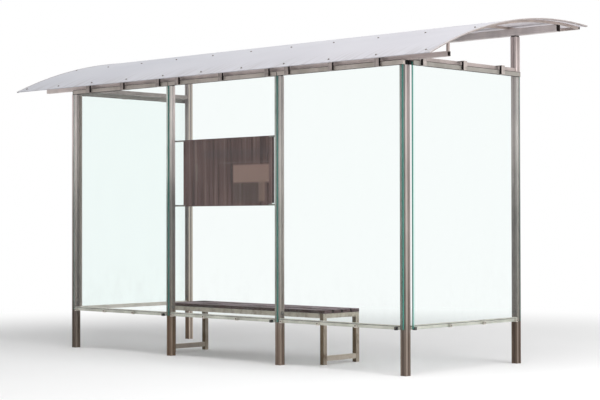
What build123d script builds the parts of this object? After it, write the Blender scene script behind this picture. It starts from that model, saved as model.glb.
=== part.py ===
"""Bus shelter with an arched roof, glazed back and end walls, a slatted bench and a notice board.

The frame is +Z up with the road side towards +Y. The origin is on the ground, under the
middle of the roof's plan.
"""
import os
from math import asin, cos, sin

from build123d import *

os.makedirs("parts", exist_ok=True)

# Plan of the posts, centre to centre
bay_length = 1400
bay_count = 3
wall_depth = 1500

# Square post extrusion with one shallow slot down the middle of each face
post_size = 60
post_corner_radius = 4
slot_width = 14
slot_depth = 4

# Back beam and end ties, one square tube size, and the level of their underside
beam_size = 40
beam_wall = 3
beam_level = 2520
beam_overhang = 448
beam_pocket = 300
back_cap_height = 36

# Front beam
front_beam_size = 60
front_cap_height = 10
cap_inset = 4

# Roof sheet, a part of a cylinder whose axis runs along X
roof_radius = 4190
crown_setback = 25
roof_back_reach = 330
roof_front_reach = 330
sheet_overhang = 77
sheet_thickness = 6
trim_wall = 3
trim_lip = 22

# Bent ribs under the sheet, each on its own short strut at the back
strut_length = 74
rib_size = 20
rib_bays = 10
rib_back_reach = 285
rib_end_slant = 50
purlin_width = 25
purlin_wall = 3

# Glass and the channels that hold its top edges; the panes stand a little off the bays
glass_thickness = 10
glass_play = 1
pane_gap = 4
channel_depth = 30
channel_height = 35
channel_floor = 10
channel_end_gap = 7
back_pane_shift = 22
end_pane_shift = 32

# Grooved rails between the posts' feet, with the lugs on which the panes stand
rail_level = 366
rail_height = 36
rail_depth = 30
rail_groove_level = 26
rail_groove_height = 4
rail_groove_depth = 5
pane_rise = 4
lug_width = 24
lug_depth = 26
lug_height = 24
lug_floor = 6
lug_places = (0.043, 0.348, 0.652, 0.957)

# Flat strips on the inner corners of the two back corner posts, as tall as the glass
corner_strip_width = 36
corner_strip_thickness = 8
corner_strip_gap = 5

# Folded clips that tie each top channel to the beam
clip_width = 45
clip_reach = 25
clip_sheet = 3
clip_places = {
    "back_left": (0.086, 0.451, 0.811),
    "back_middle": (0.071, 0.486, 0.896),
    "back_right": (0.176, 0.541, 0.901),
    "end_left": (0.082, 0.444, 0.802),
    "end_right": (0.198, 0.556, 0.918),
}

# Bench
bench_length = 1985
bench_setback = 238
leg_size = 45
leg_corner_radius = 5
bench_frame_height = 440
stretcher_height = 42
stretcher_level = 32
bench_rail_height = 40
bar_inset = 2
slat_count = 4
slat_width = 100
slat_gap = 16
slat_inset = 8
slat_thickness = 30
slat_edge_radius = 4
slat_overrun = 6

# Notice board hung between the two middle back posts
board_side_gap = 135
board_height = 608
board_level = 1372
board_thickness = 10
case_depth = 32
case_drop = 22
case_wall = 18
case_recess = 6
case_chamfer = 3
hanger_height = 14
hanger_thickness = 5
hanger_grip = 25
hanger_inset = 7

# Places that follow from the sizes above
wall_length = bay_length * bay_count
board_width = bay_length - 2 * board_side_gap
post_x = [i * bay_length - wall_length / 2 for i in range(bay_count + 1)]
left_x, right_x = post_x[0], post_x[-1]
back_y = roof_back_reach - (roof_back_reach + wall_depth + roof_front_reach) / 2
front_y = back_y + wall_depth
beam_length = wall_length + 2 * beam_overhang
beam_top = beam_level + beam_size
sheet_length = beam_length + 2 * sheet_overhang

# The struts on the back beam set the roof's height, and the roof sets the front beam's
roof_axis_y = front_y - crown_setback
trim_outer = roof_radius + trim_wall
trim_inner = roof_radius - sheet_thickness - trim_wall
sheet_under = roof_radius - sheet_thickness
rib_under = sheet_under - rib_size
strut_offset = roof_axis_y - back_y
roof_axis_z = beam_top + strut_length - (rib_under**2 - strut_offset**2) ** 0.5
back_angle = asin((back_y - roof_back_reach - roof_axis_y) / trim_outer)
front_angle = asin((front_y + roof_front_reach - roof_axis_y) / trim_outer)
rib_back_angle = asin((back_y - rib_back_reach - roof_axis_y) / sheet_under)
purlin_angle = front_angle - purlin_width / sheet_under

front_beam_edge = front_y + front_beam_size / 2 - roof_axis_y
front_beam_top = roof_axis_z + (rib_under**2 - front_beam_edge**2) ** 0.5
front_beam_level = front_beam_top - front_beam_size

back_post_height = beam_level - back_cap_height
front_post_height = front_beam_level - front_cap_height
channel_level = beam_level - channel_height
glass_slot = glass_thickness + 2 * glass_play
pane_bottom = rail_level + pane_rise
pane_top = beam_level - channel_floor


def keep(builder, label):
    """Names a finished piece and writes it as its own STEP file."""
    builder.part.label = label
    export_step(builder.part, f"parts/{label}.step")


def roof_point(radius, angle):
    """A point of the roof's cross-section, as (Y, Z), on a circle about the roof's axis."""
    return (roof_axis_y + radius * sin(angle), roof_axis_z + radius * cos(angle))


def roof_band(outer, inner, start, end, slant=0.0):
    """The face between two circles about the roof's axis, between two angles.

    The slant, an angle too, cuts the start obliquely, shorter on the inner circle.
    """
    middle = (start + end) / 2
    inner_start = start + slant
    with BuildSketch() as band:
        with BuildLine():
            ThreePointArc(*(roof_point(outer, a) for a in (start, middle, end)))
            Line(roof_point(outer, end), roof_point(inner, end))
            ThreePointArc(*(roof_point(inner, a) for a in (end, middle, inner_start)))
            Line(roof_point(inner, inner_start), roof_point(outer, start))
        make_face()
    return band.sketch


# Posts: a rounded square bar with a slot down each face
def post_section():
    with BuildSketch() as section:
        RectangleRounded(post_size, post_size, post_corner_radius)
        with PolarLocations(post_size / 2 - slot_depth / 2, 4):
            Rectangle(slot_depth, slot_width, mode=Mode.SUBTRACT)
    return section.sketch


def make_post(label, x, y, height):
    with BuildPart() as post:
        with BuildSketch(Plane((x, y, 0))):
            add(post_section())
        extrude(amount=height)
    keep(post, label)


for number, x in enumerate(post_x, 1):
    make_post(f"post_back_{number}", x, back_y, back_post_height)
make_post("post_front_left", left_x, front_y, front_post_height)
make_post("post_front_right", right_x, front_y, front_post_height)

# Dark plugs that close the top of each post, under the beam
with BuildPart() as caps:
    cap_size = post_size - 2 * cap_inset
    with BuildSketch(Plane.XY.offset(back_post_height)):
        with Locations(*((x, back_y) for x in post_x)):
            RectangleRounded(cap_size, cap_size, cap_inset)
    extrude(amount=back_cap_height)
    with BuildSketch(Plane.XY.offset(front_post_height)):
        with Locations((left_x, front_y), (right_x, front_y)):
            RectangleRounded(cap_size, cap_size, cap_inset)
    extrude(amount=front_cap_height)
keep(caps, "post_caps")


# Beams: square tubes along the shelter, with open ends
def make_beam(label, y, level, size):
    with BuildPart() as beam:
        with BuildSketch(Plane.YZ.offset(-beam_length / 2)):
            with Locations((y, level + size / 2)):
                RectangleRounded(size, size, beam_wall)
        extrude(amount=beam_length)
        for end in (-1, 1):
            with BuildSketch(Plane.YZ.offset(end * beam_length / 2)):
                with Locations((y, level + size / 2)):
                    Rectangle(size - 2 * beam_wall, size - 2 * beam_wall)
            extrude(amount=-end * beam_pocket, mode=Mode.SUBTRACT)
    keep(beam, label)


make_beam("beam_back", back_y, beam_level, beam_size)
make_beam("beam_front", front_y, front_beam_level, front_beam_size)


# End ties: from the back beam to the front post, at the back beam's level
def make_tie(label, x):
    start = back_y + beam_size / 2
    with BuildPart() as tie:
        with BuildSketch(Plane.XZ.offset(-start)):
            with Locations((x, beam_level + beam_size / 2)):
                RectangleRounded(beam_size, beam_size, beam_wall)
        extrude(amount=-(front_y - post_size / 2 - start))
    keep(tie, label)


make_tie("end_tie_left", left_x)
make_tie("end_tie_right", right_x)

# Roof ribs: bent square tubes, each welded to a short strut on the back beam, with the back
# end cut obliquely so that it stays out of sight above the sheet's edge
rib_span = beam_length - rib_size
rib_x = [i * rib_span / rib_bays - rib_span / 2 for i in range(rib_bays + 1)]
strut_top = roof_axis_z + ((rib_under + rib_size / 2) ** 2 - strut_offset**2) ** 0.5
with BuildPart() as ribs:
    for x in rib_x:
        with BuildSketch(Plane.YZ.offset(x)):
            add(roof_band(sheet_under, rib_under, rib_back_angle, purlin_angle, rib_end_slant / rib_under))
        extrude(amount=rib_size / 2, both=True)
        with BuildSketch(Plane((x, back_y, beam_top))):
            Rectangle(rib_size, rib_size)
        extrude(amount=strut_top - beam_top)
keep(ribs, "roof_ribs")

# Front purlin: a tube with open ends that closes the ribs' front ends, under the sheet's edge
purlin_wall_angle = purlin_wall / sheet_under
with BuildPart() as purlin:
    with BuildSketch(Plane.YZ.offset(-beam_length / 2)):
        add(roof_band(sheet_under, rib_under, purlin_angle, front_angle))
    extrude(amount=beam_length)
    for end in (-1, 1):
        with BuildSketch(Plane.YZ.offset(end * beam_length / 2)):
            add(roof_band(
                sheet_under - purlin_wall, rib_under + purlin_wall,
                purlin_angle + purlin_wall_angle, front_angle - purlin_wall_angle,
            ))
        extrude(amount=-end * beam_pocket, mode=Mode.SUBTRACT)
keep(purlin, "roof_purlin_front")

# Roof sheet, and the folded trim that wraps each of its curved ends
sheet_end = sheet_length / 2 - trim_wall
with BuildPart() as sheet:
    with BuildSketch(Plane.YZ.offset(-sheet_end)):
        add(roof_band(roof_radius, sheet_under, back_angle, front_angle))
    extrude(amount=2 * sheet_end)
keep(sheet, "roof_sheet")


def make_trim(label, side):
    with BuildPart() as trim:
        with BuildSketch(Plane.YZ.offset(side * (sheet_end + trim_wall))):
            add(roof_band(trim_outer, trim_inner, back_angle, front_angle))
        extrude(amount=-side * trim_lip)
        with BuildSketch(Plane.YZ.offset(side * sheet_end)):
            add(roof_band(roof_radius, sheet_under, back_angle, front_angle))
        extrude(amount=-side * trim_lip, mode=Mode.SUBTRACT)
    keep(trim, label)


make_trim("roof_trim_left", -1)
make_trim("roof_trim_right", 1)


# Glazed walls: each is drawn along its own plane, whose X runs along the wall and
# whose Y points outwards from the face of the posts
def channel_profile():
    """A channel against the beam, open downwards over the pane's top edge."""
    with BuildSketch() as profile:
        Rectangle(channel_depth, channel_height, align=(Align.MIN, Align.MIN))
        with Locations((channel_depth / 2, 0)):
            Rectangle(
                glass_slot, channel_height - channel_floor,
                align=(Align.CENTER, Align.MIN), mode=Mode.SUBTRACT,
            )
    return profile.sketch


def rail_profile():
    """A rail flush with the posts' outer faces, with a groove along its own outer face."""
    with BuildSketch() as profile:
        Rectangle(rail_depth, rail_height, align=(Align.MAX, Align.MIN))
        with Locations((0, rail_groove_level)):
            Rectangle(
                rail_groove_depth, rail_groove_height,
                align=(Align.MAX, Align.MIN), mode=Mode.SUBTRACT,
            )
    return profile.sketch


def lug_profile():
    """A lug on the rail's outer face, with a slot for the pane's bottom edge."""
    with BuildSketch() as profile:
        Rectangle(lug_depth, lug_height, align=(Align.MIN, Align.MIN))
        with Locations((channel_depth / 2, lug_floor)):
            Rectangle(
                glass_slot, lug_height - lug_floor,
                align=(Align.CENTER, Align.MIN), mode=Mode.SUBTRACT,
            )
    return profile.sketch


def clip_profile():
    """A folded clip, open at its sides, from over the channel to the face of the beam."""
    front = channel_depth + clip_reach
    hook = channel_depth / 2 + glass_thickness / 2 + glass_play
    to_beam = (post_size - beam_size) / 2
    height = channel_height + beam_size
    with BuildSketch() as profile:
        with BuildLine():
            Polyline(
                (-to_beam, height), (front, height), (front, -clip_sheet), (hook, -clip_sheet), (hook, 0),
                (front - clip_sheet, 0), (front - clip_sheet, height - clip_sheet),
                (-to_beam, height - clip_sheet), close=True,
            )
        make_face()
    return profile.sketch


def along(frame, distance, level):
    """The plane of a section across the wall, at a distance along it."""
    return Plane(frame.from_local_coords((distance, 0, level)), x_dir=frame.y_dir, z_dir=frame.x_dir)


def make_wall(label, frame, posts, ends):
    """A pane between two ends, its channel and clips, and its rail between two posts."""
    start, end = ends
    length = end - start
    with BuildPart() as pane:
        with BuildSketch(frame.offset(pane_bottom)):
            with Locations(((start + end) / 2, channel_depth / 2)):
                Rectangle(length - 2 * pane_gap, glass_thickness)
        extrude(amount=pane_top - pane_bottom)
    keep(pane, f"glass_{label}")
    with BuildPart() as channel:
        with BuildSketch(along(frame, start + channel_end_gap, channel_level)):
            add(channel_profile())
        extrude(amount=length - 2 * channel_end_gap)
    keep(channel, f"channel_{label}")
    with BuildPart() as clips:
        for share in clip_places[label]:
            with BuildSketch(along(frame, start + share * length - clip_width / 2, channel_level)):
                add(clip_profile())
            extrude(amount=clip_width)
    keep(clips, f"clips_{label}")
    with BuildPart() as rail:
        with BuildSketch(along(frame, posts[0] + post_size / 2, rail_level)):
            add(rail_profile())
        extrude(amount=posts[1] - posts[0] - post_size)
        for share in lug_places:
            centre = posts[0] + share * (posts[1] - posts[0])
            with BuildSketch(along(frame, centre - lug_width / 2, pane_bottom - lug_floor)):
                add(lug_profile())
            extrude(amount=lug_width)
    keep(rail, f"rail_{label}")


# The back wall's planes run from right to left, because its outside faces away from the road;
# its panes stand a little to the right of their bays
back_face = Plane((0, back_y - post_size / 2, 0), x_dir=(-1, 0, 0), z_dir=(0, 0, 1))
for bay, place in enumerate(("left", "middle", "right")):
    bay_posts = (-post_x[bay + 1], -post_x[bay])
    make_wall(f"back_{place}", back_face, bay_posts, [x - back_pane_shift for x in bay_posts])

# The end panes begin a little forward, clear of the back panes, and end at the front posts
left_face = Plane((left_x - post_size / 2, 0, 0), x_dir=(0, 1, 0), z_dir=(0, 0, 1))
right_face = Plane((right_x + post_size / 2, 0, 0), x_dir=(0, -1, 0), z_dir=(0, 0, 1))
make_wall("end_left", left_face, (back_y, front_y), (back_y + end_pane_shift, front_y))
make_wall("end_right", right_face, (-front_y, -back_y), (-front_y, -back_y - end_pane_shift))

# Corner strips: a flat bar on the inner face of each back corner post, between the rails and the channels
strip_bottom = rail_level + rail_height + corner_strip_gap
strip_top = channel_level - corner_strip_gap
strip_x = post_size / 2 + corner_strip_width / 2
strip_y = back_y + post_size / 2 - post_corner_radius - corner_strip_thickness / 2
with BuildPart() as strips:
    with BuildSketch(Plane.XY.offset(strip_bottom)):
        with Locations((left_x + strip_x, strip_y), (right_x - strip_x, strip_y)):
            Rectangle(corner_strip_width, corner_strip_thickness)
    extrude(amount=strip_top - strip_bottom)
keep(strips, "corner_strips")

# Bench: two welded end frames, two long rails between them, and loose slats on top
bench_back = back_y + bench_setback
bench_rail_level = bench_frame_height - bench_rail_height
bench_depth = slat_count * slat_width + (slat_count - 1) * slat_gap + 2 * slat_inset
leg_y = (bench_back + leg_size / 2, bench_back + bench_depth - leg_size / 2)
frame_x = (bench_length - leg_size) / 2


def make_bench_frame(label, x):
    bar_length = leg_y[1] - leg_y[0]
    with BuildPart() as frame:
        with BuildSketch():
            with Locations(*((x, y) for y in leg_y)):
                RectangleRounded(leg_size, leg_size, leg_corner_radius)
        extrude(amount=bench_frame_height)
        for level, height in ((stretcher_level, stretcher_height), (bench_rail_level, bench_rail_height)):
            with BuildSketch(Plane.XZ.offset(-leg_y[0])):
                with Locations((x, level + height / 2)):
                    Rectangle(leg_size - 2 * bar_inset, height)
            extrude(amount=-bar_length)
    keep(frame, label)


make_bench_frame("bench_frame_left", -frame_x)
make_bench_frame("bench_frame_right", frame_x)

rail_length = bench_length - 2 * leg_size
for label, y in zip(("bench_rail_back", "bench_rail_front"), leg_y):
    with BuildPart() as rail:
        with BuildSketch(Plane.YZ.offset(-rail_length / 2)):
            with Locations((y, bench_rail_level + bench_rail_height / 2)):
                RectangleRounded(leg_size - 2 * bar_inset, bench_rail_height, bar_inset)
        extrude(amount=rail_length)
    keep(rail, label)

slat_y = [bench_back + slat_inset + slat_width / 2 + i * (slat_width + slat_gap) for i in range(slat_count)]
with BuildPart() as slats:
    with BuildSketch(Plane.YZ.offset(-bench_length / 2 - slat_overrun)):
        with Locations(*((y, bench_frame_height + slat_thickness / 2) for y in slat_y)):
            RectangleRounded(slat_width, slat_thickness, slat_edge_radius)
    extrude(amount=bench_length + 2 * slat_overrun)
keep(slats, "bench_slats")

# Notice board: a sheet towards the back, a shallow case behind it, and four flat hangers
post_inside = back_y + post_size / 2
board_front = post_inside + hanger_thickness
with BuildPart() as panel:
    with BuildSketch(Plane.XY.offset(board_level)):
        with Locations((0, board_front + board_thickness / 2)):
            Rectangle(board_width, board_thickness)
    extrude(amount=board_height)
keep(panel, "board_panel")

case_front = board_front + board_thickness + case_depth
case_height = board_height - case_drop
with BuildPart() as case:
    with BuildSketch(Plane.XZ.offset(-board_front - board_thickness)):
        with Locations((0, board_level + case_drop + case_height / 2)):
            Rectangle(board_width, case_height)
    extrude(amount=-case_depth)
    with BuildSketch(Plane.XZ.offset(-case_front)):
        with Locations((0, board_level + case_drop + case_height / 2)):
            Rectangle(board_width - 2 * case_wall, case_height - 2 * case_wall)
    extrude(amount=case_recess, mode=Mode.SUBTRACT)
    chamfer(case.faces().sort_by(Axis.Y)[-1].outer_wire().edges(), case_chamfer)
keep(case, "board_case")

middle_posts = (post_x[bay_count // 2], post_x[bay_count // 2 + 1])
with BuildPart() as hangers:
    for side, post in zip((-1, 1), middle_posts):
        inner_end = side * (board_width / 2 - hanger_grip)
        for level in (board_level + hanger_inset, board_level + board_height - hanger_inset):
            with BuildSketch(Plane.XZ.offset(-post_inside)):
                with Locations(((post + inner_end) / 2, level)):
                    Rectangle(abs(inner_end - post), hanger_height)
            extrude(amount=-hanger_thickness)
keep(hangers, "board_hangers")
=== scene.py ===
from math import asin, cos, pi, radians, sin

import bpy
from mathutils import Matrix, Vector


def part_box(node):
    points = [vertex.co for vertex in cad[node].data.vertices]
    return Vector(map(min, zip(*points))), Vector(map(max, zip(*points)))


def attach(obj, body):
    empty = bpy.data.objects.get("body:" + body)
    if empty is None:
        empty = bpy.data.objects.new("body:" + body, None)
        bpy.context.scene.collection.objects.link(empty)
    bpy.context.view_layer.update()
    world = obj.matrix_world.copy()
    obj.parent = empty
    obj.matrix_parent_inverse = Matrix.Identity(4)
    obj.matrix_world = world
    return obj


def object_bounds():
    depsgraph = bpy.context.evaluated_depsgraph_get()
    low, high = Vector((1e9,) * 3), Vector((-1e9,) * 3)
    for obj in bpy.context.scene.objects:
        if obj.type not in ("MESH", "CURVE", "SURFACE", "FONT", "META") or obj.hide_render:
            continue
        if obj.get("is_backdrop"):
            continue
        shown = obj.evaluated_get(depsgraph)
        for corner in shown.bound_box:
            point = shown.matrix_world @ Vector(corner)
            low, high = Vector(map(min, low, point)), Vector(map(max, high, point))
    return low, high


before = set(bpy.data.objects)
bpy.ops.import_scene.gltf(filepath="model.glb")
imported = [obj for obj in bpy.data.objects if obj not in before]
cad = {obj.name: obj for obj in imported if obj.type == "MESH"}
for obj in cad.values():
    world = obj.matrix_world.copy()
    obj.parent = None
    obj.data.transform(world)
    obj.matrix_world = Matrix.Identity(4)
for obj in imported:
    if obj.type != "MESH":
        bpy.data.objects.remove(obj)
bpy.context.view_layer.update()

# The posts are drawn aluminium bars, anodised a warm champagne grey. Towards their feet they are
# darker, partly splash dirt and partly painted shade, and the draw lines run their whole length.


def new_finish(name, **constants):
    """A finish whose shader holds these constant values."""
    finish = bpy.data.materials.new(name)
    finish.use_nodes = True
    shader = finish.node_tree.nodes["Principled BSDF"]
    for socket, value in constants.items():
        shader.inputs[socket.replace("_", " ")].default_value = value
    return finish


def node(finish, kind, inputs=(), **settings):
    """A node of a finish, with its settings and with values or other nodes' sockets put in."""
    made = finish.node_tree.nodes.new("ShaderNode" + kind)
    for setting, value in settings.items():
        setattr(made, setting, value)
    for socket, value in dict(inputs).items():
        if isinstance(value, bpy.types.NodeSocket):
            finish.node_tree.links.new(value, made.inputs[socket])
        else:
            made.inputs[socket].default_value = value
    return made


def to_shader(finish, socket, value):
    shader = finish.node_tree.nodes["Principled BSDF"]
    finish.node_tree.links.new(value, shader.inputs[socket])


def place_on(finish):
    """The X, Y and Z of the surface in the object's own metres."""
    split = node(finish, "SeparateXYZ", {"Vector": node(finish, "TexCoord").outputs["Object"]})
    return split.outputs["X"], split.outputs["Y"], split.outputs["Z"]


def mottle(finish, per_metre, detail=4.0, roughness=0.55):
    """Noise with this many marks to the metre along X, Y and Z."""
    spread = node(finish, "Mapping", {
        "Vector": node(finish, "TexCoord").outputs["Object"], "Scale": per_metre,
    })
    return node(finish, "TexNoise", {
        "Vector": spread.outputs["Vector"], "Scale": 1.0, "Detail": detail, "Roughness": roughness,
    }).outputs["Fac"]


def fade(finish, value, start, end, low=0.0, high=1.0):
    """Turns a value from start to end into a smooth change from low to high."""
    return node(finish, "MapRange", {
        "Value": value, "From Min": start, "From Max": end, "To Min": low, "To Max": high,
    }, interpolation_type="SMOOTHSTEP").outputs["Result"]


def reckon(finish, operation, first, second=0.0):
    """One step of arithmetic on the surface's values."""
    return node(finish, "Math", {0: first, 1: second}, operation=operation).outputs["Value"]


def times(finish, first, second):
    return reckon(finish, "MULTIPLY", first, second)


def blend_colours(finish, share, first, second):
    mixed = node(finish, "Mix", {0: share}, data_type="RGBA")
    for socket, value in ((6, first), (7, second)):
        if isinstance(value, bpy.types.NodeSocket):
            finish.node_tree.links.new(value, mixed.inputs[socket])
        else:
            mixed.inputs[socket].default_value = (*value, 1)
    return mixed.outputs[2]


def two_tone(finish, share, first, second):
    """Starts the colour of a finish as a mixture of two."""
    to_shader(finish, "Base Color", blend_colours(finish, share, first, second))


def overlay(finish, share, colour):
    """Lays one more colour over a finish, where and as strongly as the share says."""
    so_far = finish.node_tree.nodes["Principled BSDF"].inputs["Base Color"].links[0].from_socket
    to_shader(finish, "Base Color", blend_colours(finish, share, so_far, colour))


def relief(finish, height, strength, depth):
    """Small bumps, with this depth in metres."""
    to_shader(finish, "Normal", node(finish, "Bump", {
        "Height": height, "Strength": strength, "Distance": depth,
    }).outputs["Normal"])


def dress(names, finish):
    for name in names:
        for slot in cad[name].material_slots:
            slot.material = finish


def toned(colour, tone):
    """A colour made brighter or darker."""
    return tuple(tone * c for c in colour)


bar_metallic = 0.35


def drawn_aluminium(name, light, dull, across, foot=None, top=1.0, top_light_heights=(1.0, 2.2)):
    """Anodised bar with draw lines and blotches. One with a foot is darkened low down with that
    colour, partly splash dirt and partly painted shade, and between its two top light heights it
    turns as bright and as blue as its top says, a painted sky reflection."""
    finish = new_finish(name, Metallic=bar_metallic)
    blotches = mottle(finish, (7, 7, 2.2), detail=6)
    lines = mottle(finish, across, detail=2)
    if foot:
        wavy = reckon(finish, "ADD", place_on(finish)[2], times(finish, blotches, -0.3))
        # Painted sky reflection: between those heights the bar turns brighter and a little bluer
        painted_top_light = fade(finish, wavy, *top_light_heights)
        painted_sky_tint = (top, 0.99 * top, 1.04 * top)
        light, dull = (
            blend_colours(finish, painted_top_light, below, [part * c for part, c in zip(painted_sky_tint, below)])
            for below in (light, dull)
        )
    colour = blend_colours(finish, fade(finish, blotches, 0.35, 0.68), light, dull)
    in_lines = blend_colours(finish, 0.28, colour, (0.0, 0.0, 0.0))
    two_tone(finish, fade(finish, lines, 0.52, 0.75, 0, 0.5), colour, in_lines)
    if foot:
        # The long darkening from 1.1 m down is painted shade; the short one below the rail is
        # splash dirt
        for start, end in ((1.1, 0.15), (0.34, 0.14)):
            overlay(finish, fade(finish, wavy, start, end, 0, 0.5), foot)
    to_shader(finish, "Roughness", fade(finish, blotches, 0.3, 0.7, 0.34, 0.52))
    relief(finish, lines, 0.25, 0.0004)
    return finish


# Each bar's tones are set on their own, with painted light and shade from what stands around it:
# how bright it is at half its height, its painted top light and its darkened foot against that,
# and the heights between which it turns paler
post_painted_light_and_dirt = {
    "post_back_1": (0.62, 3.3, 0.7, (1.0, 2.2)),
    "post_back_2": (0.34, 7.5, 1.9, (1.0, 2.1)),
    "post_back_3": (1.00, 1.5, 1.5, (1.0, 2.2)),
    "post_back_4": (0.82, 1.2, 1.0, (1.0, 2.2)),
    "post_front_right": (0.50, 2.55, 1.0, (1.1, 1.8)),
    "post_front_left": (0.48, 2.7, 2.1, (1.0, 2.2)),
}
champagne, dull_champagne = (0.44, 0.380, 0.352), (0.34, 0.296, 0.275)
foot_dirt_and_shade = (0.085, 0.050, 0.026)
upright_lines = (260, 260, 0.7)
for name, (tone, top, foot, top_light_heights) in post_painted_light_and_dirt.items():
    dress([name], drawn_aluminium(
        f"champagne_{name}", toned(champagne, tone), toned(dull_champagne, tone), upright_lines,
        foot=toned(foot_dirt_and_shade, foot), top=top, top_light_heights=top_light_heights,
    ))
dress(["corner_strips"], drawn_aluminium(
    "champagne_strips", (0.44, 0.375, 0.335), (0.34, 0.295, 0.26), upright_lines,
))


def inside(finish, value, low, high, soft):
    """One between low and high, and nothing outside, with soft borders."""
    above = fade(finish, value, low - soft, low + soft)
    below = fade(finish, value, high + soft, high - soft)
    return times(finish, above, below)


# Beside the slot the back half of each right face gets a painted highlight and the other half
# painted shade, together a painted reflection. The slots are painted dark as their shade.
slot_half, face_half, slot_blur = 0.0045, 0.0285, 0.001
for name in post_painted_light_and_dirt:
    finish = cad[name].material_slots[0].material
    low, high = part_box(name)
    middle = (low + high) / 2
    x, y, _ = place_on(finish)
    right = fade(finish, x, middle.x + face_half, middle.x + face_half + slot_blur)
    for side, strength, colour in ((-1, 0.11, (0.80, 0.69, 0.60)), (1, 0.14, (0.03, 0.02, 0.015))):
        slot_edge = middle.y + side * slot_half
        half = times(finish, right, fade(finish, y, slot_edge, slot_edge + side * slot_blur))
        overlay(finish, times(finish, half, strength), colour)
    slot_shade = reckon(finish, "MAXIMUM", *(
        inside(finish, value, centre - slot_half, centre + slot_half, slot_blur / 2)
        for value, centre in ((x, middle.x), (y, middle.y))
    ))
    overlay(finish, times(finish, slot_shade, 0.45), (0.03, 0.024, 0.02))

# The front left post's inner side is painted paler: painted light on that face
pale_finish = cad["post_front_left"].material_slots[0].material
pale_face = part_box("post_front_left")[1].x
painted_lit_face = fade(
    pale_finish, place_on(pale_finish)[0], pale_face - 0.0016, pale_face - 0.0003, 0, 0.75,
)
overlay(pale_finish, painted_lit_face, (0.66, 0.56, 0.48))

# The plugs in the posts' tops are black moulded plastic, a little smaller than the post, and
# pushed in from above. Their near-black also stands in for the shade under the beam.
cap_finish = new_finish("black_plugs", Roughness=0.6, Specular_IOR_Level=0.12)
two_tone(cap_finish, mottle(cap_finish, (60, 60, 60)), (0.008, 0.008, 0.009), (0.020, 0.019, 0.018))
dress(["post_caps"], cap_finish)

# The two long beams and the end ties are square aluminium tubes, bolted to the posts' tops.
# They are paler than the posts, with a dusty film and rain streaks; the beams' paleness is
# painted light against the shade of the roof over them.
tube_lines_x, tube_lines_y = (0.6, 240, 240), (240, 0.6, 240)
beam_finish = drawn_aluminium("beam_tube", (0.82, 0.725, 0.690), (0.67, 0.60, 0.57), tube_lines_x)
front_finish = drawn_aluminium(
    "front_beam_tube", (0.66, 0.60, 0.585), (0.55, 0.50, 0.49), tube_lines_x,
)
tie_finish = drawn_aluminium("tie_tube", (0.47, 0.40, 0.38), (0.37, 0.32, 0.30), tube_lines_y)
dress(["beam_back"], beam_finish)
dress(["beam_front"], front_finish)
dress(["end_tie_left", "end_tie_right"], tie_finish)

# Out from under the roof's shade, the back beam's right end loses its painted light and turns
# darker
beyond_roof_shade = fade(beam_finish, place_on(beam_finish)[0], 1.75, 2.25, 0, 0.75)
overlay(beam_finish, beyond_roof_shade, (0.36, 0.30, 0.28))

# Painted shade inside the open ends of the tubes
half_wall, wall_blur = 0.0015, 0.0004
for name, finish in (("beam_back", beam_finish), ("beam_front", front_finish)):
    low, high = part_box(name)
    _, y, z = place_on(finish)
    hollow_shade = times(finish, *(
        inside(finish, value, start + half_wall, end - half_wall, wall_blur)
        for value, start, end in ((y, low.y, high.y), (z, low.z, high.z))
    ))
    overlay(finish, hollow_shade, (0.11, 0.088, 0.082))

# The roof's ribs are square tubes bent to its arch, each welded to a short strut, and the
# front purlin closes their ends. They were left in a mill finish, now dull and a little brown.
mill_light, mill_dull = (0.48, 0.40, 0.36), (0.35, 0.29, 0.265)
dress(["roof_ribs"], drawn_aluminium("rib_tube", mill_light, mill_dull, (200, 2, 200)))
purlin_finish = drawn_aluminium("purlin_tube", mill_light, mill_dull, tube_lines_x)
dress(["roof_purlin_front"], purlin_finish)
roof_radius, roof_axis_y, roof_axis_z = 4.19, 0.725, -1.26


def distance(finish, first, second):
    """How far the surface is from an axis, from its two offsets across that axis."""
    squares = reckon(finish, "ADD", times(finish, first, first), times(finish, second, second))
    return reckon(finish, "SQRT", squares)


def roof_distance(finish):
    """How far the surface is from the axis of the roof's arch."""
    _, y, z = place_on(finish)
    forward = reckon(finish, "SUBTRACT", y, roof_axis_y)
    upward = reckon(finish, "SUBTRACT", z, roof_axis_z)
    return distance(finish, forward, upward)


# Painted shade inside the purlin's open ends
hollow_radii, hollow_depth = (4.1655, 4.1825), (1.0565, 1.0785)
hollow_shade = times(
    purlin_finish, inside(purlin_finish, roof_distance(purlin_finish), *hollow_radii, wall_blur),
    inside(purlin_finish, place_on(purlin_finish)[1], *hollow_depth, wall_blur),
)
overlay(purlin_finish, hollow_shade, (0.012, 0.010, 0.010))

# The roof sheet is white coated metal, 6 mm thick, bent over the ribs. Dust lies along its
# eave and runs down it in faint streaks. The folded trims at its ends have the same coat.
roof_finish = new_finish("white_roof_coat")
clouds = mottle(roof_finish, (1.1, 1.5, 1.5), detail=5, roughness=0.5)
streaks = mottle(roof_finish, (26, 1.3, 1.3), detail=5)
x, y, _ = place_on(roof_finish)
clouded = fade(roof_finish, clouds, 0.3, 0.7)
two_tone(roof_finish, clouded, (0.566, 0.558, 0.602), (0.544, 0.536, 0.579))
# Painted light: the sheet turns paler and bluer towards the left
towards_left = fade(roof_finish, x, 2.2, -2.6, 0, 0.6)
overlay(roof_finish, towards_left, (0.575, 0.593, 0.652))
near_eave, streaked = fade(roof_finish, y, -0.78, -1.08), fade(roof_finish, streaks, 0.4, 0.7)
eave_dust = times(roof_finish, near_eave, streaked)
overlay(roof_finish, times(roof_finish, eave_dust, 0.55), (0.38, 0.36, 0.37))
overlay(roof_finish, fade(roof_finish, streaks, 0.55, 0.78, 0, 0.10), (0.45, 0.44, 0.47))
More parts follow.
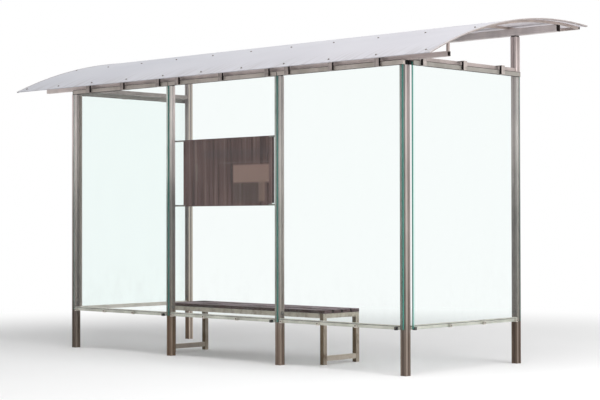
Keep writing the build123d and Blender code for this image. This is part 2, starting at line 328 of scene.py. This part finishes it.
# Painted light: the sheet's shaded underside is made much paler
underside_light = fade(roof_finish, roof_distance(roof_finish), 4.1848, 4.1842)
overlay(roof_finish, underside_light, (0.80, 0.76, 0.80))
to_shader(roof_finish, "Roughness", fade(roof_finish, clouds, 0.3, 0.7, 0.46, 0.56))
dress(["roof_sheet"], roof_finish)

# The trims are painted darker than the sheet's coat, painted shade on their upright faces, and
# their top fold paler, a painted highlight
trim_finish = new_finish("white_trim_coat")
trim_wear = mottle(trim_finish, (14, 14, 14), detail=6)
trim_worn = fade(trim_finish, trim_wear, 0.42, 0.72)
two_tone(trim_finish, trim_worn, (0.30, 0.262, 0.250), (0.22, 0.190, 0.180))
fold_highlight = fade(trim_finish, roof_distance(trim_finish), 4.1890, 4.1905)
overlay(trim_finish, fold_highlight, (0.50, 0.48, 0.49))
to_shader(trim_finish, "Roughness", fade(trim_finish, trim_wear, 0.3, 0.7, 0.4, 0.6))
dress(["roof_trim_left", "roof_trim_right"], trim_finish)

# Roofing screws: hexagon heads of zinc-plated steel on domed washers, four to each rib,
# driven from above through the sheet.


def clear_selection():
    if bpy.context.object and bpy.context.object.mode != "OBJECT":
        bpy.ops.object.mode_set(mode="OBJECT")
    bpy.ops.object.select_all(action="DESELECT")


def shape(piece, steps):
    """Runs edit-mode steps on a piece."""
    clear_selection()
    bpy.context.view_layer.objects.active = piece
    piece.select_set(True)
    bpy.ops.object.mode_set(mode="EDIT")
    steps()
    bpy.ops.object.mode_set(mode="OBJECT")


def pick_faces(piece, wanted):
    """Selects the faces whose normal passes a test, from inside edit mode."""
    bpy.ops.object.mode_set(mode="OBJECT")
    for edge in piece.data.edges:
        edge.select = False
    for vertex in piece.data.vertices:
        vertex.select = False
    for face in piece.data.polygons:
        face.select = wanted(face.normal)
        if face.select:
            for index in face.vertices:
                piece.data.vertices[index].select = True
    bpy.ops.object.mode_set(mode="EDIT")
    bpy.ops.mesh.select_mode(type="FACE")


def round_edges(piece, width, segments=2, angle=40):
    rounding = piece.modifiers.new("rounding", "BEVEL")
    rounding.width, rounding.segments, rounding.limit_method = width, segments, "ANGLE"
    rounding.angle_limit = radians(angle)
    bpy.context.view_layer.objects.active = piece
    bpy.ops.object.modifier_apply(modifier=rounding.name)


def merged(pieces, name):
    """Joins pieces into the first of them."""
    clear_selection()
    for piece in pieces:
        piece.select_set(True)
    bpy.context.view_layer.objects.active = pieces[0]
    bpy.ops.object.join()
    pieces[0].name = name
    return pieces[0]


def repeated(model, places, name):
    """Copies a modelled piece to each place, every copy with its own mesh, and joins the copies."""
    made = []
    for place in places:
        copy = model.copy()
        copy.data = model.data.copy()
        copy.data.transform(place)
        bpy.context.collection.objects.link(copy)
        made.append(copy)
    bpy.data.objects.remove(model)
    return merged(made, name)


def fit_out(piece, finish, smooth=35):
    """Puts a piece's place into its mesh, gives it its finish and lets it ride with the shelter."""
    clear_selection()
    bpy.context.view_layer.objects.active = piece
    piece.select_set(True)
    bpy.ops.object.transform_apply(location=True, rotation=True, scale=True)
    bpy.ops.object.shade_smooth_by_angle(angle=radians(smooth))
    piece.data.materials.clear()
    piece.data.materials.append(finish)
    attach(piece, "root")


def screw_head(washer, head, height):
    """A hexagon head on a domed washer, standing on the origin with its top along Z."""
    clear_selection()
    disc_height, dome_height, head_height = height * 0.35, height * 0.15, height * 0.6
    bpy.ops.mesh.primitive_cylinder_add(
        vertices=18, radius=washer, depth=disc_height, location=(0, 0, disc_height / 2),
    )
    disc = bpy.context.object

    def dome():
        pick_faces(disc, lambda normal: normal.z > 0.9)
        bpy.ops.mesh.inset(thickness=washer * 0.3)
        bpy.ops.transform.translate(value=(0, 0, dome_height))
    shape(disc, dome)
    clear_selection()
    bpy.ops.mesh.primitive_cylinder_add(
        vertices=6, radius=head, depth=head_height, location=(0, 0, height - head_height / 2),
    )
    hexagon = bpy.context.object
    round_edges(hexagon, head * 0.12)
    screw = merged([disc, hexagon], "screw_head")
    bpy.ops.object.transform_apply(location=True, rotation=True, scale=True)
    return screw


rib_pitch, rib_count = 0.5076, 11
screw_rows = (-1.02, -0.40, 0.50, 1.02)
steel_finish = new_finish("zinc_screws", Metallic=0.75, Roughness=0.42)
steel_wear = fade(steel_finish, mottle(steel_finish, (90, 90, 90), detail=5), 0.38, 0.66)
two_tone(steel_finish, steel_wear, (0.30, 0.29, 0.27), (0.13, 0.10, 0.08))
places = []
for number in range(rib_count):
    for y in screw_rows:
        lean = asin((y - roof_axis_y) / roof_radius)
        top = Vector((
            (number - (rib_count - 1) / 2) * rib_pitch,
            roof_axis_y + roof_radius * sin(lean), roof_axis_z + roof_radius * cos(lean),
        ))
        places.append(Matrix.Translation(top) @ Matrix.Rotation(-lean, 4, "X"))
roof_screws = repeated(screw_head(0.0095, 0.006, 0.0075), places, "roof_screws")
fit_out(roof_screws, steel_finish)

# Panes: clear toughened glass, 10 mm thick, green at its ground edges. The edges at the posts'
# outer sides also tint the glass beside them. A film of dust is thicker low down. Their
# mirroring is set low, so that it doesn't veil what stands behind them.


def pane_finish(label):
    finish = new_finish(f"glass_{label}", IOR=1.25)
    low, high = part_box(f"glass_{label}")
    axis = 0 if high.x - low.x > high.y - low.y else 1
    place = place_on(finish)
    along, height = place[axis], place[2]
    rim_start, rim_full = 0.0009, 0.0003
    near = [
        fade(finish, value, side + inward * rim_start, side + inward * rim_full)
        for value, side, inward in (
            (along, low[axis], 1), (along, high[axis], -1),
            (height, low.z, 1), (height, high.z, -1),
        )
    ]
    upright_rims = reckon(finish, "MAXIMUM", near[0], near[1])
    level_rims = reckon(finish, "MAXIMUM", near[2], near[3])
    rim = reckon(finish, "MAXIMUM", upright_rims, level_rims)
    edge, inward = (low.y, 1) if axis else (high.x, -1)
    band = fade(finish, along, edge + inward * 0.012, edge + inward * 0.005)
    tint = fade(finish, along, edge + inward * 0.040, edge + inward * 0.010, 0, 0.45)
    smears = mottle(finish, (5, 5, 3), detail=7, roughness=0.65)
    low_down = fade(finish, height, 1.0, 0.38, 0.004, 0.03)
    dust = times(finish, fade(finish, smears, 0.4, 0.75), low_down)
    two_tone(finish, dust, (0.93, 0.975, 0.965), (0.62, 0.62, 0.58))
    overlay(finish, tint, (0.55, 0.80, 0.72))
    overlay(finish, band, (0.14, 0.42, 0.36))
    overlay(finish, rim, (0.05, 0.22, 0.18))
    haze = reckon(finish, "ADD", dust, times(finish, band, 0.35))
    clear = reckon(finish, "SUBTRACT", 1.0, haze)
    clear = reckon(finish, "SUBTRACT", clear, times(finish, rim, 0.5))
    to_shader(finish, "Transmission Weight", clear)
    to_shader(finish, "Roughness", times(finish, rim, 0.35))
    return finish


walls = ("back_left", "back_middle", "back_right", "end_left", "end_right")
for label in walls:
    dress([f"glass_{label}"], pane_finish(label))

# Channels and rails: pale aluminium sections. The channels hold the panes' top edges; the rails
# run from post to post, and the panes stand in the lugs on their outer faces. One lug of
# each rail, beside its post, is painted black as the shade at the rail's end.
post_face_x, post_face_y = 2.130, -0.780
lug_start, lug_full = 0.0002, 0.0008
lug_reach, lug_blur = 0.10, 0.01


def rail_metal(label, light, dull, across):
    """The rails' aluminium, with one lug outside the face of the posts painted black as shade."""
    finish = drawn_aluminium(f"rail_{label}", light, dull, across)
    x, y, _ = place_on(finish)
    value, face, outward = {
        "end_left": (x, -post_face_x, -1), "end_right": (x, post_face_x, 1),
    }.get(label, (y, post_face_y, -1))
    outside = fade(finish, value, face + outward * lug_start, face + outward * lug_full)
    low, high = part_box(f"rail_{label}")
    if label.startswith("end"):
        near_post = fade(finish, y, low.y + lug_reach + lug_blur, low.y + lug_reach)
    else:
        near_post = fade(finish, x, high.x - lug_reach - lug_blur, high.x - lug_reach)
    # Painted shade: the lug beside the post is painted black
    lug = times(finish, outside, near_post)
    overlay(finish, lug, (0.022, 0.020, 0.020))
    bare = reckon(finish, "SUBTRACT", 1.0, lug)
    to_shader(finish, "Metallic", times(finish, bare, bar_metallic))
    return finish


section_lines_x, section_lines_y = (0.6, 260, 260), (260, 0.6, 260)
# Lit and shaded copies of the same aluminium: the end walls' channels and rails are painted darker
# than the back wall's
channel_finish_x = drawn_aluminium(
    "channel_along", (0.60, 0.54, 0.49), (0.46, 0.42, 0.37), section_lines_x,
)
channel_finish_y = drawn_aluminium(
    "channel_across", (0.32, 0.30, 0.272), (0.25, 0.235, 0.21), section_lines_y,
)
for label in walls:
    if label.startswith("end"):
        dress([f"channel_{label}"], channel_finish_y)
        rail_finish = rail_metal(label, (0.68, 0.62, 0.56), (0.54, 0.50, 0.44), section_lines_y)
    else:
        dress([f"channel_{label}"], channel_finish_x)
        rail_finish = rail_metal(label, (0.76, 0.69, 0.62), (0.61, 0.55, 0.49), section_lines_x)
    dress([f"rail_{label}"], rail_finish)

# Gaskets: black rubber strips pressed between each pane and its channel, showing 3 mm, a black
# bead in the groove of each rail, and a low black rubber lip on each channel, which stands in
# for the shade line between the channel and the beam.
rubber_finish = new_finish("black_rubber", Roughness=0.7, Specular_IOR_Level=0.12)
two_tone(
    rubber_finish, mottle(rubber_finish, (40, 40, 40)),
    (0.010, 0.008, 0.009), (0.026, 0.022, 0.022),
)


def bar(low, high, rounding):
    """A square strip between two corners, with its edges rounded."""
    clear_selection()
    low, high = Vector(low), Vector(high)
    bpy.ops.mesh.primitive_cube_add(size=1, location=(low + high) / 2)
    strip = bpy.context.object
    strip.scale = high - low
    bpy.ops.object.transform_apply(location=True, rotation=True, scale=True)
    round_edges(strip, rounding)
    return strip


def bar_along(axis, run, width, height, rounding):
    """A bar whose run is along X, axis 0, or along Y, axis 1, with its width across that."""
    pairs = zip(width, run) if axis else zip(run, width)
    low, high = ((x, y, z) for (x, y), z in zip(pairs, height))
    return bar(low, high, rounding)


gasket_showing, gasket_hidden, gasket_sheet, gasket_rounding = 0.003, 0.006, 0.001, 0.0003
groove, groove_depth, bead_inset = (0.392, 0.396), 0.005, 0.001
lip_height, lip_width, lip_end, lip_rounding = 0.0035, 0.004, 0.026, 0.0004
for label in walls:
    pane_low, pane_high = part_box(f"glass_{label}")
    low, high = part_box(f"channel_{label}")
    rail_low, rail_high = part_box(f"rail_{label}")
    axis = 1 if label.startswith("end") else 0
    run = (max(low[axis], pane_low[axis]), min(high[axis], pane_high[axis]))
    strips = []
    for face, outward in ((pane_low[1 - axis], -1), (pane_high[1 - axis], 1)):
        strips.append(bar_along(
            axis, run, sorted((face, face + outward * gasket_sheet)),
            (low.z - gasket_showing, low.z + gasket_hidden), gasket_rounding,
        ))
    if label.startswith("end"):
        outer, outward = (high.x, 1) if label == "end_right" else (low.x, -1)
        face = outward * post_face_x
        lip = sorted((outer, face + outward * lip_end))
        bead = sorted((face - outward * bead_inset, face - outward * groove_depth))
    else:
        lip = (low.y, low.y + lip_width)
        bead = (post_face_y + bead_inset, post_face_y + groove_depth)
    strips.append(bar_along(
        axis, (low[axis], high[axis]), lip, (high.z, high.z + lip_height), lip_rounding,
    ))
    rail_run = (rail_low[axis], rail_high[axis])
    strips.append(bar_along(axis, rail_run, bead, groove, lip_rounding))
    fit_out(merged(strips, f"gasket_{label}"), rubber_finish)

# Channel end plate: a pressed aluminium cap at the back wall's right corner, over the post. It
# closes the channel, which stops short of the post's outer face there.
plate_rounding = 0.0015
low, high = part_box("channel_back_right")
end_plate = bar((high.x, low.y, low.z), (post_face_x, high.y, high.z), plate_rounding)
end_plate.name = "channel_end_plates"
fit_out(end_plate, channel_finish_x)

# Channel plugs: black moulded blocks that close the end walls' channels against the corner
# posts. Their black also stands in for the shade in the corner.
plug_width, plug_depth, cap_inset = 0.010, 0.0265, 0.004
plugs = []
for label, side in (("end_left", -1), ("end_right", 1)):
    low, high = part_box(f"channel_{label}")
    x = sorted((side * (post_face_x - cap_inset), side * (post_face_x + plug_width)))
    plugs.append(bar((x[0], low.y - plug_depth, low.z), (x[1], low.y, high.z), plate_rounding))
fit_out(merged(plugs, "channel_plugs"), rubber_finish)

# Lug bolts: small dark steel hexagon heads on washers. Four of them clamp each pane in the lugs
# of its rail, from the outside.
bolt_finish = new_finish("dark_bolts", Metallic=0.6, Roughness=0.5)
two_tone(
    bolt_finish, mottle(bolt_finish, (120, 120, 120)), (0.16, 0.145, 0.13), (0.07, 0.055, 0.045),
)
lug_shares, lug_bolt_height, post_half = (0.043, 0.348, 0.652, 0.957), 0.379, 0.030
bolt_places = []
for label in walls:
    low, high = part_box(f"rail_{label}")
    axis = 1 if label.startswith("end") else 0
    for share in lug_shares:
        along = low[axis] - post_half + share * (high[axis] - low[axis] + 2 * post_half)
        if label == "end_left":
            place, turn = (low.x, along), Matrix.Rotation(-pi / 2, 4, "Y")
        elif label == "end_right":
            place, turn = (high.x, along), Matrix.Rotation(pi / 2, 4, "Y")
        else:
            place, turn = (along, low.y), Matrix.Rotation(pi / 2, 4, "X")
        bolt_places.append(Matrix.Translation((*place, lug_bolt_height)) @ turn)
lug_bolts = repeated(screw_head(0.007, 0.005, 0.005), bolt_places, "lug_bolts")
fit_out(lug_bolts, bolt_finish)

# Rail bolts: large hexagon heads of the same steel on domed washers. They are screwed into the
# posts' slots, over each end of a rail.
rail_bolt_height = 0.447
back_posts, end_posts, back_row, front_row = (-2.1, -0.7, 0.7, 2.1), (-2.1, 2.1), -0.75, 0.75
rail_bolt_places = []
for x in back_posts:
    for side in (-1, 1):
        if back_posts[0] < x + side < back_posts[-1]:
            rail_bolt_places.append(
                Matrix.Translation((x + side * post_half, back_row, rail_bolt_height))
                @ Matrix.Rotation(side * pi / 2, 4, "Y")
            )
for x in end_posts:
    for y, side in ((back_row, 1), (front_row, -1)):
        rail_bolt_places.append(
            Matrix.Translation((x, y + side * post_half, rail_bolt_height))
            @ Matrix.Rotation(-side * pi / 2, 4, "X")
        )
rail_bolts = repeated(screw_head(0.017, 0.010, 0.008), rail_bolt_places, "rail_bolts")
fit_out(rail_bolts, bolt_finish)

# Glazing clips: folded zinc-plated strips over the channel and the beam, each holding a black
# rubber block against the channel, which also stands in for the shade inside the clip.
clip_finish = new_finish("folded_zinc", Metallic=0.6)
clip_wear = mottle(clip_finish, (34, 34, 34), detail=6)
clip_worn = fade(clip_finish, clip_wear, 0.36, 0.68)
two_tone(clip_finish, clip_worn, (0.50, 0.44, 0.41), (0.34, 0.30, 0.28))
to_shader(clip_finish, "Roughness", fade(clip_finish, clip_wear, 0.3, 0.7, 0.36, 0.55))
dress([f"clips_{label}" for label in walls], clip_finish)

block_depth, block_half, block_play, block_rounding = 0.022, 0.021, 0.002, 0.002
clip_sheet, pane_play = 0.003, 0.004
clip_shares = {
    "back_left": (0.086, 0.451, 0.811),
    "back_middle": (0.071, 0.486, 0.896),
    "back_right": (0.176, 0.541, 0.901),
    "end_left": (0.082, 0.444, 0.802),
    "end_right": (0.198, 0.556, 0.918),
}
for label in walls:
    low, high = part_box(f"channel_{label}")
    pane_low, pane_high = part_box(f"glass_{label}")
    height = (low.z + block_play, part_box(f"clips_{label}")[1].z - clip_sheet - block_play)
    axis = 1 if label.startswith("end") else 0
    length = pane_high[axis] - pane_low[axis] + 2 * pane_play
    if label == "end_left":
        start, step, depth = pane_low.y - pane_play, length, (low.x - block_depth, low.x)
    elif label == "end_right":
        start, step, depth = pane_high.y + pane_play, -length, (high.x, high.x + block_depth)
    else:
        start, step, depth = pane_high.x + pane_play, -length, (low.y - block_depth, low.y)
    blocks = []
    for share in clip_shares[label]:
        centre = start + share * step
        run = (centre - block_half, centre + block_half)
        blocks.append(bar_along(axis, run, depth, height, block_rounding))
    fit_out(merged(blocks, f"clip_blocks_{label}"), rubber_finish)

# Bench frames and rails: welded square steel tube with an olive grey coat, rubbed bare and
# rusting at its edges and feet. The legs' backs are painted darker, as painted shade.
bench_finish = new_finish("olive_coat")
coat_marks = mottle(bench_finish, (16, 16, 9), detail=7, roughness=0.62)
_, y, z = place_on(bench_finish)
frame_low, frame_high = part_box("bench_frame_left")
worn_coat = fade(bench_finish, coat_marks, 0.35, 0.7)
two_tone(bench_finish, worn_coat, (0.46, 0.40, 0.33), (0.31, 0.265, 0.21))
rust_spots = fade(bench_finish, coat_marks, 0.52, 0.66)
rust = times(bench_finish, rust_spots, fade(bench_finish, z, 0.34, 0.02, 0.25, 1.0))
overlay(bench_finish, rust, (0.13, 0.075, 0.045))
back_legs = fade(bench_finish, y, frame_low.y + 0.002, frame_low.y + 0.0005)
front_legs = times(
    bench_finish, fade(bench_finish, y, frame_high.y - 0.0465, frame_high.y - 0.0452),
    fade(bench_finish, y, frame_high.y - 0.042, frame_high.y - 0.0435),
)
leg_backs_shade = reckon(bench_finish, "MAXIMUM", back_legs, front_legs)
overlay(bench_finish, times(bench_finish, leg_backs_shade, 0.93), (0.095, 0.058, 0.025))

# Feet have scuffed the stretchers bare, and the tubes' sides below the seat get painted shade
leg_width = 0.046
scuffed = times(
    bench_finish, fade(bench_finish, z, 0.0755, 0.0735),
    inside(bench_finish, y, frame_low.y + leg_width, frame_high.y - leg_width, 0.001),
)
overlay(bench_finish, times(bench_finish, scuffed, 0.7), (0.72, 0.64, 0.56))
facing = node(bench_finish, "SeparateXYZ", {
    "Vector": node(bench_finish, "NewGeometry").outputs["Normal"],
}).outputs["X"]
sideways = fade(bench_finish, times(bench_finish, facing, facing), 0.5, 0.9, 0, 0.5)
side_shade_below_seat = times(bench_finish, sideways, fade(bench_finish, z, 0.43, 0.36))
overlay(bench_finish, side_shade_below_seat, (0.13, 0.095, 0.065))
to_shader(bench_finish, "Roughness", fade(bench_finish, coat_marks, 0.3, 0.7, 0.45, 0.7))
relief(bench_finish, coat_marks, 0.2, 0.0006)
dress(["bench_frame_left", "bench_frame_right"], bench_finish)
dress(["bench_rail_back", "bench_rail_front"], bench_finish)

# Bench slats: four softwood boards with a dark brown stain, each a little different in tone,
# with their tops pale grey, partly worn and partly a painted sheen.
slat_finish = new_finish("stained_slats", Specular_IOR_Level=0.12)
grain = mottle(slat_finish, (3.2, 95, 95), detail=6, roughness=0.6)
x, y, z = place_on(slat_finish)
slats_low, slats_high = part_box("bench_slats")
slat_pitch, slat_gap = 0.116, 0.016
stained = fade(slat_finish, grain, 0.36, 0.66)
two_tone(slat_finish, stained, (0.024, 0.008, 0.006), (0.050, 0.019, 0.015))
from_first = reckon(slat_finish, "SUBTRACT", y, slats_low.y - slat_gap / 2)
each_slat = reckon(slat_finish, "SNAP", from_first, slat_pitch)
tone = node(slat_finish, "TexWhiteNoise", {"W": each_slat}, noise_dimensions="1D").outputs["Value"]
overlay(slat_finish, times(slat_finish, tone, 0.25), (0.070, 0.035, 0.033))
worn_patches = fade(slat_finish, mottle(slat_finish, (2.4, 9, 9), detail=5), 0.30, 0.58)
seat_wear_and_sheen = times(slat_finish, fade(slat_finish, z, 0.4665, 0.4697), worn_patches)
overlay(slat_finish, times(slat_finish, seat_wear_and_sheen, 0.82), (0.47, 0.36, 0.39))

# Painted shade in the gaps, a front top edge rubbed pale with a painted highlight, and bare end
# grain
from_half = reckon(slat_finish, "SUBTRACT", y, slats_low.y - slat_pitch / 2)
in_slat = reckon(slat_finish, "MODULO", from_half, slat_pitch)
beside_gap = inside(slat_finish, in_slat, slat_pitch / 2 - 0.02, slat_pitch / 2 + 0.003, 0.001)
behind_first = fade(slat_finish, y, slats_low.y + 0.05, slats_low.y + 0.06)
gap_shade = times(slat_finish, behind_first, beside_gap)
overlay(slat_finish, times(slat_finish, gap_shade, 0.85), (0.008, 0.004, 0.004))
edge_wear_and_highlight = times(
    slat_finish, fade(slat_finish, z, slats_high.z - 0.0030, slats_high.z - 0.0012),
    fade(slat_finish, y, slats_low.y + 0.005, slats_low.y + 0.003),
)
overlay(slat_finish, times(slat_finish, edge_wear_and_highlight, 0.7), (0.34, 0.27, 0.27))
end_strength = 0.7
end_grain = fade(
    slat_finish, reckon(slat_finish, "ABSOLUTE", x), slats_high.x - 0.002, slats_high.x - 0.001,
)
clean_share = reckon(slat_finish, "SUBTRACT", end_strength, times(slat_finish, gap_shade, end_strength))
overlay(slat_finish, times(slat_finish, end_grain, clean_share), (0.105, 0.066, 0.072))
to_shader(slat_finish, "Roughness", fade(slat_finish, grain, 0.3, 0.7, 0.78, 0.92))
relief(slat_finish, grain, 0.5, 0.0012)
dress(["bench_slats"], slat_finish)

# Slat screws: zinc-plated hexagon heads on domed washers, sunk into each slat over both frames,
# two to a crossing.
screw_sink, screw_spread = 0.0045, 0.03
frame_middle = (frame_low.x + frame_high.x) / 2
slat_places = []
for number in range(4):
    slat_middle = slats_low.y + (slat_pitch - slat_gap) / 2 + number * slat_pitch
    for x in (frame_middle, -frame_middle):
        for shift in (-screw_spread, screw_spread):
            place = (x, slat_middle + shift, slats_high.z - screw_sink)
            slat_places.append(Matrix.Translation(place))
slat_screws = repeated(screw_head(0.008, 0.004, 0.005), slat_places, "slat_screws")
fit_out(slat_screws, steel_finish)

# Notice board: a brown fibre sheet, weathered in vertical streaks, with a paler patch where a
# sheet was once pasted, and a shallow painted case behind it, open to the front.
board_finish = new_finish("weathered_board", Specular_IOR_Level=0.2)
board_x, _, board_z = place_on(board_finish)
board_streaks = mottle(board_finish, (24, 24, 0.7), detail=4, roughness=0.6)
board_clouds = mottle(board_finish, (3.5, 3.5, 3.0), detail=6)
clouded = fade(board_finish, board_clouds, 0.34, 0.68)
two_tone(board_finish, clouded, (0.120, 0.058, 0.054), (0.168, 0.090, 0.083))
overlay(board_finish, fade(board_finish, board_streaks, 0.48, 0.64, 0, 0.85), (0.052, 0.022, 0.022))
overlay(board_finish, fade(board_finish, board_streaks, 0.46, 0.32, 0, 0.75), (0.26, 0.160, 0.145))

# Marks on the board: each is a soft rectangle between two X and two Z, with the softness of its
# borders, its strength and its colour
for mark_x, mark_z, soft, strength, mark_colour in (
    ((0.09, 0.54), (1.578, 1.735), 0.012, 0.85, (0.36, 0.215, 0.182)),
    ((0.41, 0.49), (1.41, 1.60), 0.014, 0.7, (0.28, 0.17, 0.14)),
    ((0.09, 0.405), (1.40, 1.572), 0.012, 0.40, (0.095, 0.07, 0.06)),
    ((0.045, 0.088), (1.56, 1.72), 0.010, 0.45, (0.075, 0.045, 0.045)),
    ((-0.30, 0.56), (1.80, 1.875), 0.03, 0.35, (0.085, 0.06, 0.065)),
    ((-0.11, 0.55), (1.752, 1.762), 0.006, 0.35, (0.24, 0.18, 0.17)),
    ((-0.404, -0.367), (1.60, 1.76), 0.012, 0.45, (0.22, 0.165, 0.15)),
    ((-0.428, -0.413), (1.36, 2.0), 0.005, 0.65, (0.06, 0.038, 0.045)),
):
    mark = times(
        board_finish, inside(board_finish, board_x, *mark_x, soft),
        inside(board_finish, board_z, *mark_z, soft),
    )
    overlay(board_finish, times(board_finish, mark, strength), mark_colour)
to_shader(board_finish, "Roughness", fade(board_finish, board_clouds, 0.3, 0.7, 0.5, 0.72))
relief(board_finish, board_streaks, 0.3, 0.0008)
dress(["board_panel"], board_finish)

case_finish = new_finish("brown_case", Specular_IOR_Level=0.15)
case_marks = mottle(case_finish, (18, 18, 5), detail=6)
case_worn = fade(case_finish, case_marks, 0.36, 0.68)
two_tone(case_finish, case_worn, (0.040, 0.015, 0.017), (0.070, 0.032, 0.032))
to_shader(case_finish, "Roughness", fade(case_finish, case_marks, 0.3, 0.7, 0.45, 0.65))
dress(["board_case"], case_finish)

# Hangers: flat galvanised steel bars between the posts and the board, bolted through it. Their
# zinc has dulled to a mottled grey.
hanger_finish = new_finish("galvanised_bars", Metallic=0.6, Roughness=0.5)
spangle = fade(hanger_finish, mottle(hanger_finish, (70, 70, 70), detail=3), 0.38, 0.64)
two_tone(hanger_finish, spangle, (0.30, 0.28, 0.25), (0.17, 0.155, 0.135))
dress(["board_hangers"], hanger_finish)

# The view: the photograph's camera, standing behind the shelter's right end at eye height. Its
# place and turn were fitted to the posts and the rails.
photo_width, focal_in_pixels = 600, 1556.81
camera_data = bpy.data.cameras.new("camera")
camera_data.sensor_width = 36
camera_data.lens = focal_in_pixels / photo_width * camera_data.sensor_width
camera = bpy.data.objects.new("camera", camera_data)
camera.matrix_world = (
    Matrix.Translation((10.0602, -10.3391, 1.2333))
    @ Matrix.Rotation(radians(43.5606), 4, "Z")
    @ Matrix.Rotation(radians(90 + 0.7878), 4, "X")
    @ Matrix.Rotation(radians(-0.0991), 4, "Z")
)
bpy.context.collection.objects.link(camera)
bpy.context.scene.camera = camera

# The studio: a pale floor, a white surround and two large soft lamps, one high up and one at
# the right.
clear_selection()
bpy.ops.mesh.primitive_plane_add(size=160, location=(0, 0, 0))
floor = bpy.context.object
floor.name = "floor"
floor_finish = new_finish("pale_floor", Roughness=0.9)
two_tone(
    floor_finish, mottle(floor_finish, (0.7, 0.7, 0.7)), (0.90, 0.90, 0.90), (0.92, 0.92, 0.92),
)

# Away from the shelter the floor turns into the plain white of the surround, for seen rays
floor_x, floor_y, _ = place_on(floor_finish)
rays = node(floor_finish, "LightPath").outputs
mirrored = reckon(floor_finish, "MAXIMUM", rays["Is Glossy Ray"], rays["Is Transmission Ray"])
direct = reckon(floor_finish, "MAXIMUM", rays["Is Camera Ray"], mirrored)
far_out = fade(floor_finish, distance(floor_finish, floor_x, floor_y), 3.4, 8.0)
plain = node(floor_finish, "Emission", {"Color": (1, 1, 1, 1), "Strength": 1.0})
floor_mix = node(floor_finish, "MixShader", {
    0: times(floor_finish, direct, far_out),
    1: floor_finish.node_tree.nodes["Principled BSDF"].outputs["BSDF"],
    2: plain.outputs["Emission"],
})
floor_output = floor_finish.node_tree.nodes["Material Output"]
floor_finish.node_tree.links.new(floor_mix.outputs["Shader"], floor_output.inputs["Surface"])
floor.data.materials.append(floor_finish)
floor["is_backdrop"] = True

surround = bpy.data.worlds.new("surround")
bpy.context.scene.world = surround
surround.use_nodes = True
tree = surround.node_tree
paths = tree.nodes.new("ShaderNodeLightPath")
seen = paths.outputs["Is Camera Ray"]
for kind in ("Is Glossy Ray", "Is Transmission Ray"):
    either = tree.nodes.new("ShaderNodeMath")
    either.operation = "MAXIMUM"
    tree.links.new(seen, either.inputs[0])
    tree.links.new(paths.outputs[kind], either.inputs[1])
    seen = either.outputs[0]
strength = tree.nodes.new("ShaderNodeMapRange")
strength.inputs["To Min"].default_value = 0.50
strength.inputs["To Max"].default_value = 1.0
tree.links.new(seen, strength.inputs["Value"])
background = tree.nodes["Background"]
background.inputs["Color"].default_value = (1, 1, 1, 1)
tree.links.new(strength.outputs["Result"], background.inputs["Strength"])


def lamp(name, place, aim, size, power):
    data = bpy.data.lights.new(name, "AREA")
    data.size, data.energy = size, power
    light = bpy.data.objects.new(name, data)
    light.location = place
    light.rotation_euler = (Vector(aim) - Vector(place)).to_track_quat("-Z", "Y").to_euler()
    bpy.context.collection.objects.link(light)


lamp("lamp_high", (4, -3, 10), (0, 0, 1), 8, 500)
lamp("lamp_side", (10, 0, 4.5), (0, 0, 1.2), 6, 560)

bpy.context.scene.view_settings.view_transform = "Standard"
low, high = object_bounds()
